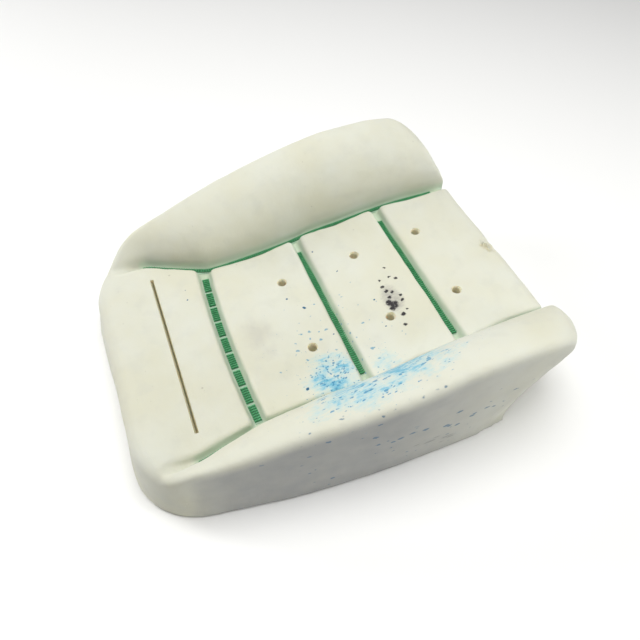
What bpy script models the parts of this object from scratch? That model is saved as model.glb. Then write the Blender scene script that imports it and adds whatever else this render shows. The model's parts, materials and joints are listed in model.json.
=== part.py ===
"""Moulded foam cushion pad for the front seat of a car, with its moulded-in hook tapes.

+Z is up and +X is the left-hand bolster. The nose, under the sitter's knees, is at -Y and the rear lip
is at +Y. The origin is the middle of the flat underside. Every size is in metres.
"""
import math

import bmesh
import bpy
from mathutils import Vector

# ---- foam pad: driving sizes -------------------------------------------------------------------
PAD_WIDTH = 0.474            # across both bolsters where they are widest
PAD_LENGTH = 0.568           # nose to rear lip
BOLSTER_HEIGHT = 0.184       # underside to the highest point of a bolster
INSERT_THICKNESS = 0.069     # foam under the lowest point of the sitting surface
NOSE_CORNER_RADIUS = 0.090   # front corners, seen from above
NOSE_ROUNDING = 0.024        # edge between the sitting surface and the nose
RIM_ROUNDING = 0.015         # outer edge along a bolster's crest
LIP_ROUNDING = 0.012         # edge at the back of the sitting surface
NOSE_LEAN = 0.012            # how far the nose's foot stands out in front of its upper edge
BOLSTER_FULLNESS = 2.3       # exponent of a bolster's section: 2 is a quarter ellipse, more is fuller
FRONT_FULLNESS = 1.65        # the same at the front, where a bolster rises more gently
BOLSTER_REAR_ROUNDING = 0.030
OUTER_REAR_ROUNDING = 0.024  # the same edge where it reaches a bolster's outer corner
REAR_LEAN = 0.45             # forward run of a bolster's rear face for each unit of height above the lip
REAR_UNDERCUT = 0.030        # the lip overhangs the underside by this
CORNER_UNDERCUT = 0.095      # a bolster's outer rear corner overhangs the underside by this
CORNER_SETBACK = 0.005       # a bolster's outer rear corner stands this far ahead of the lip at its top
REAR_CORNER_RADIUS = 0.042   # outer rear corners, seen from above
CORNER_TURN = 0.36           # share of a bolster's width, from its foot, where its rear face turns forward
CORNER_FOOT = 0.13           # share of the height below which the outer rear corners stand upright
FOOT_CHAMFER = 0.003

# ---- trenches, tapes and strips -----------------------------------------------------------------
TRENCH_WIDTH = 0.0135        # narrowest width of the trenches along the bolsters
TRENCH_DEPTH = 0.0135        # below the sitting surface
PANEL_SETBACK = 0.007        # how far a panel's side bows in between the cross trenches
CROSS_TRENCH_WIDTH = 0.0125
FRONT_TRENCH_WIDTH = 0.0175
FRONT_TRENCH_BOW = 0.006     # the front trench's middle lies this far ahead of its ends
TAPE_MARGIN = 0.0012         # each side, between a carrier tape and its trench's wall
TAPE_THICKNESS = 0.0009
STRIP_WIDTH = 0.0085         # band of hooks
STRIP_THICKNESS = 0.0024
FRONT_BLOCK_COUNT = 9
FRONT_BLOCK_WIDTH = 0.0095
FRONT_BLOCK_GAP = 0.0035
WIRE_DIAMETER = 0.0012
SEAT_GAP = 0.0003            # between any two pieces that touch
BOLSTER_DIVISIONS = 30       # points along a bolster trench
FRONT_DIVISIONS = 19         # points along the bowed front trench
BLOCK_DIVISIONS = 3          # points along one hook block
STRIP_END_GAP = 0.020        # bare floor between a cross strip and the bolster trench
FRONT_GAP_LEFT = 0.0035      # bare floor past the left end of the front strip
FRONT_GAP_RIGHT = 0.0100
CUT_CLEARANCE = 0.030        # how far a cutting body stands above the surface it opens

# ---- slit and vent holes ------------------------------------------------------------------------
SLIT_WIDTH = 0.0035
SLIT_DEPTH = 0.045
VENT_DIAMETER = 0.011
VENT_DEPTH = 0.050
VENT_SPACING = 0.123         # between the two vents of a row
VENT_SEGMENTS = 24

# ---- lengthwise layout: share of the length behind the nose, and what is there -------------------
SLIT_AT = 0.161
FRONT_TRENCH_AT = 0.293
MIDDLE_TRENCH_AT = 0.549
REAR_TRENCH_AT = 0.780
VENT_ROWS_AT = (0.466, 0.663, 0.836)
TRENCH_START_AT = 0.075
STRIP_START_AT = 0.148
SLIT_SHARE = 0.64            # the slit's length as a share of the pad's width there

# ---- curves along the pad: (share of the length behind the nose, value) ---------------------------
# half widths and trench places are shares of half the pad's width
CREST_HALF_WIDTH = [(0.0, 0.858), (0.13, 0.862), (0.23, 0.895), (0.35, 0.937), (0.47, 0.976), (0.60, 1.0),
                    (1.0, 0.997)]
FOOT_HALF_WIDTH = [(0.0, 0.850), (0.13, 0.862), (0.22, 0.892), (0.33, 0.930), (0.44, 0.950), (0.56, 0.960),
                   (0.69, 0.958), (1.0, 0.945)]
LEFT_TRENCH = [(0.07, 0.700), (0.14, 0.696), (0.21, 0.656), (0.30, 0.618), (0.42, 0.616), (0.55, 0.620),
               (0.66, 0.616), (0.80, 0.612), (1.0, 0.586)]
RIGHT_TRENCH = [(0.07, 0.675), (0.10, 0.688), (0.15, 0.705), (0.21, 0.652), (0.27, 0.595), (0.31, 0.566),
                (0.42, 0.586), (0.52, 0.608), (0.60, 0.620), (0.68, 0.612), (0.84, 0.602), (1.0, 0.580)]
# 0 is level with the lowest point of the sitting surface and 1 is the highest point of the bolsters
CREST_RISE = [(0.0, 0.12), (0.05, 0.20), (0.08, 0.26), (0.13, 0.34), (0.23, 0.475), (0.35, 0.645),
              (0.47, 0.77), (0.60, 0.905), (0.72, 0.995), (0.80, 1.0), (0.92, 0.935), (1.0, 0.865)]
# metres above the lowest point of the sitting surface
INSERT_RISE = [(0.0, 0.012), (0.08, 0.010), (0.16, 0.005), (0.40, 0.0), (0.50, 0.001), (0.66, 0.014),
               (0.84, 0.028), (1.0, 0.033)]

# ---- how finely the foam's surface is divided, as shares of its width, length and height ----------
CORNER_SHARE = 0.28          # of the divisions along the pad, up to where the front corners end
FOOT_LINE = 0.30             # of the divisions across, at the foot of a bolster's inner wall
FOOT_LIMIT = 0.80            # and at most this share of the way out, where the nose narrows
ACROSS_HALF = (0.15, 0.30, 0.36, 0.42, 0.49, 0.56, 0.64, 0.72, 0.80, 0.87, 0.93, 0.97, 1.0)
ALONG = (0.0, 0.04, 0.08, 0.12, 0.16, 0.20, 0.24, 0.28, 0.34, 0.40, 0.46, 0.52, 0.58, 0.64, 0.70, 0.76,
         0.82, 0.88, 0.92, 0.95, 0.975, 0.99, 1.0)
UP = (0.0, 0.05, 0.25, 0.5, 0.75, 1.0)
SPREAD = 1.5                 # spacing across a bolster: 1 is even, more is closer together at its foot
SETTLING_STEPS = 8           # rounds in which a surface point's plan place agrees with its width and depth
FULLNESS_START, FULLNESS_END = 0.15, 0.45   # shares of the length between which a bolster's section fills
HEIGHT_STEPS = 18            # rounds in which its height agrees with its plan place
HEIGHT_SHARE = 0.35          # of each height correction taken in a round

HALF = PAD_WIDTH / 2
NOSE_Y = -PAD_LENGTH / 2
LIP_Y = PAD_LENGTH / 2
LIP_TOP = INSERT_THICKNESS + INSERT_RISE[-1][1]
FLOOR_LIFT = SEAT_GAP
STRIP_LIFT = FLOOR_LIFT + TAPE_THICKNESS + SEAT_GAP


# ---- small helpers ------------------------------------------------------------------------------
def smooth_curve(points, t):
    """Monotone cubic through (t, value) points, flat beyond both ends."""
    if t <= points[0][0]:
        return points[0][1]
    if t >= points[-1][0]:
        return points[-1][1]
    slopes = [(b[1] - a[1]) / (b[0] - a[0]) for a, b in zip(points, points[1:])]
    i = next(k for k in range(len(slopes)) if t <= points[k + 1][0])

    def tangent(k):
        if k == 0:
            return slopes[0]
        if k == len(slopes):
            return slopes[-1]
        left, right = slopes[k - 1], slopes[k]
        return 2 * left * right / (left + right) if left * right > 0 else 0.0

    (t0, v0), (t1, v1) = points[i], points[i + 1]
    run = t1 - t0
    s = (t - t0) / run
    return (v0 * (1 + 2 * s) * (1 - s) ** 2 + v1 * s * s * (3 - 2 * s)
            + run * tangent(i) * s * (1 - s) ** 2 - run * tangent(i + 1) * s * s * (1 - s))


def ease(t):
    t = min(max(t, 0.0), 1.0)
    return t * t * (3 - 2 * t)


def share_at(y):
    return (y - NOSE_Y) / PAD_LENGTH


def y_at(share):
    return NOSE_Y + share * PAD_LENGTH


# ---- form of the foam ---------------------------------------------------------------------------
def insert_height(y):
    return INSERT_THICKNESS + smooth_curve(INSERT_RISE, share_at(y))


def crest_height(y):
    return INSERT_THICKNESS + (BOLSTER_HEIGHT - INSERT_THICKNESS) * smooth_curve(CREST_RISE, share_at(y))


def trench_x(y, side):
    """Distance of a bolster trench from the middle; side is 1 on the left and -1 on the right."""
    return HALF * smooth_curve(LEFT_TRENCH if side > 0 else RIGHT_TRENCH, share_at(y))


def wall_half_width(y, z):
    foot = smooth_curve(FOOT_HALF_WIDTH, share_at(y))
    crest = smooth_curve(CREST_HALF_WIDTH, share_at(y))
    return HALF * (foot + (crest - foot) * min(z / crest_height(y), 1.0))


def nose_y(z):
    return NOSE_Y + NOSE_LEAN * ease(z / INSERT_THICKNESS)


def rear_y(x, z):
    """Rear face: it leans forward above the lip, is undercut below it and turns forward at the corners."""
    below = max(0.0, 1 - z / (LIP_TOP - LIP_ROUNDING))
    inner = LIP_Y - REAR_UNDERCUT * below ** 1.5 - REAR_LEAN * max(0.0, z - LIP_TOP)
    rise = (z / BOLSTER_HEIGHT - CORNER_FOOT) / (1 - CORNER_FOOT)
    outer = LIP_Y - CORNER_SETBACK - CORNER_UNDERCUT * (1 - min(max(rise, 0.0), 1.0))
    foot = trench_x(LIP_Y, x)
    beyond = (abs(x) - foot) / (HALF - foot)
    face = inner + (outer - inner) * ease((beyond - CORNER_TURN) / (1 - CORNER_TURN))
    return face - rounding_drop(wall_half_width(LIP_Y, z) - abs(x), REAR_CORNER_RADIUS)


def corner_inset(depth):
    """How far a front corner's arc stands in from the side wall, at a depth behind the nose."""
    reach = max(0.0, NOSE_CORNER_RADIUS - depth)
    return NOSE_CORNER_RADIUS - math.sqrt(NOSE_CORNER_RADIUS ** 2 - min(reach, NOSE_CORNER_RADIUS) ** 2)


def rounding_drop(distance, radius):
    reach = min(max(radius - distance, 0.0), radius)
    return radius - math.sqrt(radius ** 2 - reach ** 2)


def edge_distance(x, y, z):
    """Distance in from the side wall, from the nose or round a front corner."""
    width = wall_half_width(y, z)
    depth = y - nose_y(z)
    across = abs(x) - (width - NOSE_CORNER_RADIUS)
    ahead = NOSE_CORNER_RADIUS - depth
    if across > 0 and ahead > 0:
        return NOSE_CORNER_RADIUS - math.hypot(across, ahead)
    return min(width - abs(x), depth)


def raw_top(x, y):
    low, high = insert_height(y), crest_height(y)
    foot = trench_x(y, x) + TRENCH_WIDTH / 2
    across = (abs(x) - foot) / (wall_half_width(y, high) - foot)
    inward = 1 - min(max(across, 0.0), 1.0)
    behind = (share_at(y) - FULLNESS_START) / (FULLNESS_END - FULLNESS_START)
    fullness = FRONT_FULLNESS + (BOLSTER_FULLNESS - FRONT_FULLNESS) * ease(behind)
    return low + (high - low) * (1 - inward ** fullness) ** (1 / fullness)


def top_height(x, y):
    raw = raw_top(x, y)
    radius = RIM_ROUNDING + (NOSE_ROUNDING - RIM_ROUNDING) * ease(1 - (y - NOSE_Y) / NOSE_CORNER_RADIUS)
    side_drop = rounding_drop(edge_distance(x, y, raw - radius), radius)
    beyond = (abs(x) - trench_x(y, x)) / (HALF - trench_x(y, x))
    rear_radius = smooth_curve([(0.0, LIP_ROUNDING), (0.5, BOLSTER_REAR_ROUNDING),
                                (1.0, OUTER_REAR_ROUNDING)], beyond)
    rear_drop = rounding_drop(rear_y(x, raw - rear_radius) - y, rear_radius)
    return raw - max(side_drop, rear_drop)


def plan_point(u, s, z):
    """Plan place for u (0 middle, 1 side wall) and s (0 nose, 1 rear) at height z."""
    front = nose_y(z)
    x = u * HALF
    y = y_at(s)
    for _ in range(SETTLING_STEPS):
        length = rear_y(x, z) - front
        if s < CORNER_SHARE:
            depth = NOSE_CORNER_RADIUS * (1 - math.cos(math.pi / 2 * s / CORNER_SHARE))
        else:
            straight = (s - CORNER_SHARE) / (1 - CORNER_SHARE)
            depth = NOSE_CORNER_RADIUS + (length - NOSE_CORNER_RADIUS) * straight
        y = front + depth
        width = wall_half_width(y, z) - corner_inset(depth)
        width -= max(0.0, FOOT_CHAMFER - z)
        foot = min(trench_x(y, u) + TRENCH_WIDTH / 2, FOOT_LIMIT * width)
        if abs(u) < FOOT_LINE:
            x = u / FOOT_LINE * foot
        else:
            beyond = (abs(u) - FOOT_LINE) / (1 - FOOT_LINE)
            x = math.copysign(foot + (width - foot) * beyond ** SPREAD, u)
    return x, y


def foam_point(u, s, w):
    """Surface point: u runs -1 to 1 across, s 0 to 1 from the nose and w 0 to 1 from the underside up."""
    z = w * INSERT_THICKNESS
    for _ in range(HEIGHT_STEPS):
        x, y = plan_point(u, s, z)
        z += HEIGHT_SHARE * (w * top_height(x, y) - z)
    return Vector((x, y, z))


# ---- Blender objects ----------------------------------------------------------------------------
def clear_scene():
    for obj in list(bpy.data.objects):
        bpy.data.objects.remove(obj, do_unlink=True)


def new_collection(name):
    collection = bpy.data.collections.new(name)
    bpy.context.scene.collection.children.link(collection)
    return collection


def new_material(name, colour, roughness, metallic=0.0):
    material = bpy.data.materials.new(name)
    material.use_nodes = True
    shader = material.node_tree.nodes["Principled BSDF"]
    shader.inputs["Base Color"].default_value = (*colour, 1.0)
    shader.inputs["Roughness"].default_value = roughness
    shader.inputs["Metallic"].default_value = metallic
    return material


def add_object(name, data, collection, material=None):
    obj = bpy.data.objects.new(name, data)
    if material:
        data.materials.append(material)
    collection.objects.link(obj)
    return obj


def add_cutter(obj):
    obj.hide_render = True
    obj.display_type = "WIRE"
    return obj


def cut(target, cutter):
    modifier = target.modifiers.new(cutter.name, "BOOLEAN")
    modifier.operation = "DIFFERENCE"
    modifier.solver = "EXACT"
    modifier.object = cutter


def foam_body(collection, material):
    """The pad, lofted between unlike sections from the nose to the rear."""
    mesh = bpy.data.meshes.new("foam_pad")
    bm = bmesh.new()
    across = [-u for u in reversed(ACROSS_HALF)] + [0.0] + list(ACROSS_HALF)
    last_u, last_s, last_w = len(across) - 1, len(ALONG) - 1, len(UP) - 1
    verts = {}
    for i, u in enumerate(across):
        for j, s in enumerate(ALONG):
            for k, w in enumerate(UP):
                if i in (0, last_u) or j in (0, last_s) or k in (0, last_w):
                    verts[i, j, k] = bm.verts.new(foam_point(u, s, w))

    def quad(a, b, c, d):
        bm.faces.new([verts[a], verts[b], verts[c], verts[d]])

    for i in range(last_u):
        for j in range(last_s):
            quad((i, j, last_w), (i + 1, j, last_w), (i + 1, j + 1, last_w), (i, j + 1, last_w))
            quad((i, j + 1, 0), (i + 1, j + 1, 0), (i + 1, j, 0), (i, j, 0))
        for k in range(last_w):
            quad((i, 0, k), (i + 1, 0, k), (i + 1, 0, k + 1), (i, 0, k + 1))
            quad((i, last_s, k + 1), (i + 1, last_s, k + 1), (i + 1, last_s, k), (i, last_s, k))
    for j in range(last_s):
        for k in range(last_w):
            quad((last_u, j, k), (last_u, j + 1, k), (last_u, j + 1, k + 1), (last_u, j, k + 1))
            quad((0, j, k + 1), (0, j + 1, k + 1), (0, j + 1, k), (0, j, k))
    bm.to_mesh(mesh)
    bm.free()
    mesh.shade_smooth()
    return add_object("foam_pad", mesh, collection, material)


def ribbon(name, path, collection, thickness, material=None):
    """Bar swept along a path of (point, inner half width, outer half width); thickness goes upwards."""
    mesh = bpy.data.meshes.new(name)
    bm = bmesh.new()
    bmesh.ops.create_grid(bm, x_segments=len(path) - 1, y_segments=1, size=0.5)
    count = len(path)
    columns = sorted(bm.verts, key=lambda v: (round((v.co.x + 0.5) * (count - 1)), v.co.y))
    for i, (point, inner, outer) in enumerate(path):
        before = path[max(i - 1, 0)][0]
        after = path[min(i + 1, count - 1)][0]
        ahead = (after - before).normalized()
        side = Vector((ahead.y, -ahead.x, 0)).normalized()
        columns[2 * i].co = point + side * outer
        columns[2 * i + 1].co = point - side * inner
    lifted = bmesh.ops.extrude_face_region(bm, geom=list(bm.faces))
    top = [item for item in lifted["geom"] if isinstance(item, bmesh.types.BMVert)]
    bmesh.ops.translate(bm, verts=top, vec=(0, 0, thickness))
    bmesh.ops.recalc_face_normals(bm, faces=list(bm.faces))
    bm.to_mesh(mesh)
    bm.free()
    return add_object(name, mesh, collection, material)


def wire(name, points, collection, material):
    curve = bpy.data.curves.new(name, "CURVE")
    curve.dimensions = "3D"
    curve.bevel_depth = WIRE_DIAMETER / 2
    curve.bevel_resolution = 2
    curve.use_fill_caps = True
    spline = curve.splines.new("POLY")
    spline.points.add(len(points) - 1)
    for target, point in zip(spline.points, points):
        target.co = (*point, 1)
    return add_object(name, curve, collection, material)


# ---- routes of the trenches ---------------------------------------------------------------------
def setback(y):
    """How far the panel beside a bolster trench bows in, none at the cross trenches."""
    stops = [y_at(s) for s in (FRONT_TRENCH_AT, MIDDLE_TRENCH_AT, REAR_TRENCH_AT)] + [LIP_Y]
    for start, end in zip(stops, stops[1:]):
        if start < y < end:
            return PANEL_SETBACK * math.sin(math.pi * (y - start) / (end - start)) ** 2
    return 0.0


def bolster_route(side, start, end, lift, inner, outer, bowed=False):
    """Points along a bolster trench, at a lift above its floor; side is 1 on the left, -1 on the right."""
    route = []
    for i in range(BOLSTER_DIVISIONS):
        y = start + (end - start) * i / (BOLSTER_DIVISIONS - 1)
        point = Vector((side * trench_x(y, side), y, insert_height(y) - TRENCH_DEPTH + lift))
        near = inner + (setback(y) if bowed else 0.0)
        route.append((point, near, outer) if side > 0 else (point, outer, near))
    return route


def cross_route(at, first, last, lift, half_width, bow=0.0, count=2):
    """Points across the pad from x = first to last at a share of its length, bowed towards the nose."""
    route = []
    for i in range(count):
        x = first + (last - first) * i / (count - 1)
        y = y_at(at) - bow * (1 - (x / trench_x(y_at(at), x)) ** 2)
        point = Vector((x, y, insert_height(y_at(at)) - TRENCH_DEPTH + lift))
        route.append((point, half_width, half_width))
    return route


def cut_bolster_trench(pad, side, cutters):
    name = "left" if side > 0 else "right"
    inner = TRENCH_WIDTH / 2
    start, end = y_at(TRENCH_START_AT), LIP_Y + LIP_ROUNDING
    route = bolster_route(side, start, end, 0.0, inner, inner, bowed=True)
    trench = ribbon("cut_bolster_trench_" + name, route, cutters, TRENCH_DEPTH + CUT_CLEARANCE)
    cut(pad, add_cutter(trench))


def cut_cross_trench(pad, name, at, width, bow, cutters):
    y = y_at(at)
    divisions = FRONT_DIVISIONS if bow else 2
    route = cross_route(at, -trench_x(y, -1), trench_x(y, 1), 0.0, width / 2, bow, divisions)
    trench = ribbon("cut_" + name, route, cutters, TRENCH_DEPTH + CUT_CLEARANCE)
    cut(pad, add_cutter(trench))


def cut_wire_groove(pad, name, route, cutters):
    half = WIRE_DIAMETER / 2 + SEAT_GAP
    slot = [(point - Vector((0, 0, 2 * half)), half, half) for point, _, _ in route]
    cut(pad, add_cutter(ribbon("cut_groove_" + name, slot, cutters, 2 * half + CUT_CLEARANCE)))


def cut_slit(pad, cutters):
    y = y_at(SLIT_AT)
    top = insert_height(y) + CUT_CLEARANCE
    bottom = insert_height(y) - SLIT_DEPTH
    reach = SLIT_SHARE * HALF * smooth_curve(CREST_HALF_WIDTH, SLIT_AT)
    bm = bmesh.new()
    bmesh.ops.create_cube(bm, size=1.0)
    bmesh.ops.scale(bm, verts=bm.verts, vec=(2 * reach, SLIT_WIDTH, top - bottom))
    bmesh.ops.translate(bm, verts=bm.verts, vec=(0, y, (top + bottom) / 2))
    mesh = bpy.data.meshes.new("cut_slit")
    bm.to_mesh(mesh)
    bm.free()
    cut(pad, add_cutter(add_object("cut_slit", mesh, cutters)))


def cut_vents(pad, cutters):
    bm = bmesh.new()
    for at in VENT_ROWS_AT:
        y = y_at(at)
        top = insert_height(y) + CUT_CLEARANCE
        bottom = insert_height(y) - VENT_DEPTH
        for side in (-1, 1):
            made = bmesh.ops.create_cone(bm, cap_ends=True, segments=VENT_SEGMENTS, depth=top - bottom,
                                         radius1=VENT_DIAMETER / 2, radius2=VENT_DIAMETER / 2)
            place = (side * VENT_SPACING / 2, y, (top + bottom) / 2)
            bmesh.ops.translate(bm, verts=made["verts"], vec=place)
    mesh = bpy.data.meshes.new("cut_vents")
    bm.to_mesh(mesh)
    bm.free()
    cut(pad, add_cutter(add_object("cut_vents", mesh, cutters)))


# ---- tapes, strips and wires --------------------------------------------------------------------
def lay_bolster_tape(pad, side, parts, cutters, materials):
    name = "left" if side > 0 else "right"
    start, end = y_at(STRIP_START_AT), LIP_Y - 2 * LIP_ROUNDING
    half = TRENCH_WIDTH / 2 - TAPE_MARGIN
    tape = bolster_route(side, start, end, FLOOR_LIFT, half, half)
    ribbon("bolster_tape_" + name, tape, parts, TAPE_THICKNESS, materials["tape"])
    hooks = STRIP_WIDTH / 2
    band = bolster_route(side, start + TAPE_MARGIN, end - TAPE_MARGIN, STRIP_LIFT, hooks, hooks)
    ribbon("bolster_hook_strip_" + name, band, parts, STRIP_THICKNESS, materials["hooks"])
    groove = bolster_route(side, start - TAPE_MARGIN, end + TAPE_MARGIN, 0.0, 0.0, 0.0)
    cut_wire_groove(pad, "bolster_" + name, groove, cutters)
    core = bolster_route(side, start, end, -WIRE_DIAMETER / 2 - SEAT_GAP, 0.0, 0.0)
    wire("bolster_wire_" + name, [point for point, _, _ in core], parts, materials["wire"])


def strip_ends(at, left_gap, right_gap):
    """Both ends of a strip across the pad, each its gap short of the bolster trench."""
    y = y_at(at)
    right = -(trench_x(y, -1) - TRENCH_WIDTH / 2 - right_gap)
    left = trench_x(y, 1) - TRENCH_WIDTH / 2 - left_gap
    return right, left


def lay_cross_tape(pad, name, at, parts, cutters, materials):
    right, left = strip_ends(at, STRIP_END_GAP, STRIP_END_GAP)
    half = CROSS_TRENCH_WIDTH / 2 - TAPE_MARGIN
    tape = cross_route(at, right, left, FLOOR_LIFT, half)
    ribbon(name + "_tape", tape, parts, TAPE_THICKNESS, materials["tape"])
    band = cross_route(at, right + TAPE_MARGIN, left - TAPE_MARGIN, STRIP_LIFT, STRIP_WIDTH / 2)
    ribbon(name + "_hook_strip", band, parts, STRIP_THICKNESS, materials["hooks"])
    groove = cross_route(at, right - TAPE_MARGIN, left + TAPE_MARGIN, 0.0, 0.0)
    cut_wire_groove(pad, name, groove, cutters)
    core = cross_route(at, right, left, -WIRE_DIAMETER / 2 - SEAT_GAP, 0.0)
    wire(name + "_wire", [point for point, _, _ in core], parts, materials["wire"])


def lay_front_tape(pad, parts, cutters, materials):
    """The front tape carries its hooks in separate blocks, so that it can follow the bowed trench."""
    right, left = strip_ends(FRONT_TRENCH_AT, FRONT_GAP_LEFT, FRONT_GAP_RIGHT)
    half = FRONT_TRENCH_WIDTH / 2 - TAPE_MARGIN
    hooks = FRONT_BLOCK_WIDTH / 2
    bow = FRONT_TRENCH_BOW
    route = cross_route(FRONT_TRENCH_AT, right, left, FLOOR_LIFT, half, bow, FRONT_DIVISIONS)
    ribbon("front_tape", route, parts, TAPE_THICKNESS, materials["tape"])
    pitch = (left - right) / FRONT_BLOCK_COUNT
    for i in range(FRONT_BLOCK_COUNT):
        first = right + i * pitch + FRONT_BLOCK_GAP / 2
        last = first + pitch - FRONT_BLOCK_GAP
        block = cross_route(FRONT_TRENCH_AT, first, last, STRIP_LIFT, hooks, bow, BLOCK_DIVISIONS)
        ribbon("front_hook_block_%d" % (i + 1), block, parts, STRIP_THICKNESS, materials["hooks"])
    groove = cross_route(FRONT_TRENCH_AT, right - TAPE_MARGIN, left + TAPE_MARGIN, 0.0, 0.0, bow,
                         FRONT_DIVISIONS)
    cut_wire_groove(pad, "front", groove, cutters)
    depth = WIRE_DIAMETER / 2 + SEAT_GAP
    core = cross_route(FRONT_TRENCH_AT, right, left, -depth, 0.0, bow, FRONT_DIVISIONS)
    wire("front_wire", [point for point, _, _ in core], parts, materials["wire"])


def main():
    clear_scene()
    parts = new_collection("seat_cushion_pad")
    cutters = new_collection("cutters")
    materials = {
        "foam": new_material("polyurethane_foam", (0.76, 0.74, 0.62), 0.85),
        "tape": new_material("carrier_tape", (0.40, 0.66, 0.47), 0.55),
        "hooks": new_material("nylon_hooks", (0.05, 0.25, 0.09), 0.50),
        "wire": new_material("steel_wire", (0.45, 0.45, 0.45), 0.35, 1.0),
    }
    pad = foam_body(parts, materials["foam"])
    for side in (1, -1):
        cut_bolster_trench(pad, side, cutters)
    cut_cross_trench(pad, "front_trench", FRONT_TRENCH_AT, FRONT_TRENCH_WIDTH, FRONT_TRENCH_BOW, cutters)
    cut_cross_trench(pad, "middle_trench", MIDDLE_TRENCH_AT, CROSS_TRENCH_WIDTH, 0.0, cutters)
    cut_cross_trench(pad, "rear_trench", REAR_TRENCH_AT, CROSS_TRENCH_WIDTH, 0.0, cutters)
    cut_slit(pad, cutters)
    cut_vents(pad, cutters)
    for side in (1, -1):
        lay_bolster_tape(pad, side, parts, cutters, materials)
    lay_cross_tape(pad, "middle", MIDDLE_TRENCH_AT, parts, cutters, materials)
    lay_cross_tape(pad, "rear", REAR_TRENCH_AT, parts, cutters, materials)
    lay_front_tape(pad, parts, cutters, materials)


main()
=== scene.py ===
"""Bare foam cushion pad of a car's front seat: moulded body, hook tapes, stains and a plain studio."""
import json
import math

import bmesh
import bpy
import numpy as np
from bpy.props import FloatProperty, FloatVectorProperty, IntProperty, PointerProperty
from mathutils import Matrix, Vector, noise

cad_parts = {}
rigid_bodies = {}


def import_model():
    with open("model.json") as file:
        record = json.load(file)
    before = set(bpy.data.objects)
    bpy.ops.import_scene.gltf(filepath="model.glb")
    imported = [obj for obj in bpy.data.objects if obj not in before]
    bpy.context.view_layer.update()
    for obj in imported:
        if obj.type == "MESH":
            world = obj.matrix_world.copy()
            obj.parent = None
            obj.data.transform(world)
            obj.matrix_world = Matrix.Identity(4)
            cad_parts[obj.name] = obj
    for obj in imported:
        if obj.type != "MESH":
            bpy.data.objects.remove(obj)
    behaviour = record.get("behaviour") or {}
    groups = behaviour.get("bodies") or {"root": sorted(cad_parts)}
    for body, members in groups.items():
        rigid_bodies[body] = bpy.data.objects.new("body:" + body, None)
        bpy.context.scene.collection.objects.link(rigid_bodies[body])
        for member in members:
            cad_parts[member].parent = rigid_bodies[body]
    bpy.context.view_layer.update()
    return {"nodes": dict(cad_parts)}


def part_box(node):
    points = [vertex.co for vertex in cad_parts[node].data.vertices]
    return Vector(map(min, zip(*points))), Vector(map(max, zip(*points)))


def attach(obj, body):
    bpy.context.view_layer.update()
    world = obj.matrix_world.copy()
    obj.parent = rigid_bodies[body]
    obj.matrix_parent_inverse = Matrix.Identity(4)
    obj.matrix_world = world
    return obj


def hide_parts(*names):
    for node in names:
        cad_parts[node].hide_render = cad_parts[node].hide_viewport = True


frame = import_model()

bl_info = {
    "name": "Seat Cushion Pad",
    "version": (1, 0, 0),
    "blender": (4, 5, 0),
    "location": "View3D > Sidebar > Seat Pad",
    "description": "Models the bare foam cushion pad of a car seat with its moulded-in hook tapes",
    "category": "Add Mesh",
}

BLOCKS = ["front_hook_block_%d" % (i + 1) for i in range(9)]
TAPES = ["bolster_tape_left", "bolster_tape_right", "middle_tape", "rear_tape", "front_tape"]
WIRES = ["bolster_wire_left", "bolster_wire_right", "middle_wire", "rear_wire", "front_wire"]

# ---- sizes of the moulded body, in metres ---------------------------------------------------------
WIDTH, LENGTH, HEIGHT = 0.474, 0.568, 0.184
INSERT = 0.069               # foam under the lowest point of the sitting surface
NOSE_CORNER = 0.090          # front corners, seen from above
NOSE_ROUNDING, RIM_ROUNDING, LIP_ROUNDING = 0.024, 0.010, 0.012
BOLSTER_REAR, OUTER_REAR, REAR_CORNER = 0.030, 0.024, 0.042
NOSE_LEAN = 0.012            # the nose's foot stands out in front of its upper edge
# exponents of a bolster's section, from its rear to its tip: 2 is a quarter ellipse, 1 a plain slope
FULLNESS, FRONT_FULLNESS, TIP_FULLNESS = 2.3, 1.65, 1.1
FULLNESS_START, FULLNESS_END = 0.15, 0.45
REAR_LEAN, REAR_UNDERCUT = 0.45, 0.030
CORNER_UNDERCUT, CORNER_SETBACK = 0.095, 0.005
CORNER_TURN, CORNER_FOOT = 0.36, 0.13
TRENCH, DEPTH, SETBACK = 0.0135, 0.0135, 0.0040
CROSS_TRENCH, FRONT_TRENCH, FRONT_BOW = 0.0125, 0.0175, 0.006
TRENCH_START = 0.075
START_DEPTH, START_RUN = 0.20, 0.034     # the bolster trenches begin shallow and reach their depth in this
HALF, NOSE_Y, LIP_Y = WIDTH / 2, -LENGTH / 2, LENGTH / 2

# curves along the pad: share of the length behind the nose, and the value there
CREST_HALF_WIDTH = [(0.0, 0.858), (0.13, 0.862), (0.23, 0.895), (0.35, 0.937), (0.47, 0.976), (0.60, 1.0),
                    (1.0, 0.997)]
FOOT_HALF_WIDTH = [(0.0, 0.850), (0.13, 0.862), (0.22, 0.892), (0.33, 0.930), (0.44, 0.950), (0.56, 0.960),
                   (0.69, 0.958), (1.0, 0.945)]
LEFT_TRENCH = [(0.07, 0.700), (0.14, 0.696), (0.21, 0.656), (0.30, 0.618), (0.42, 0.616), (0.55, 0.620),
               (0.66, 0.616), (0.80, 0.612), (1.0, 0.586)]
RIGHT_TRENCH = [(0.07, 0.675), (0.10, 0.688), (0.15, 0.705), (0.21, 0.652), (0.27, 0.595), (0.31, 0.566),
                (0.42, 0.586), (0.52, 0.608), (0.60, 0.620), (0.68, 0.612), (0.84, 0.602), (1.0, 0.580)]
CREST_RISE = [(0.0, 0.12), (0.05, 0.20), (0.08, 0.26), (0.13, 0.34), (0.23, 0.475), (0.35, 0.645),
              (0.47, 0.77), (0.60, 0.905), (0.72, 0.995), (0.80, 1.0), (0.92, 0.935), (1.0, 0.865)]
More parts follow.
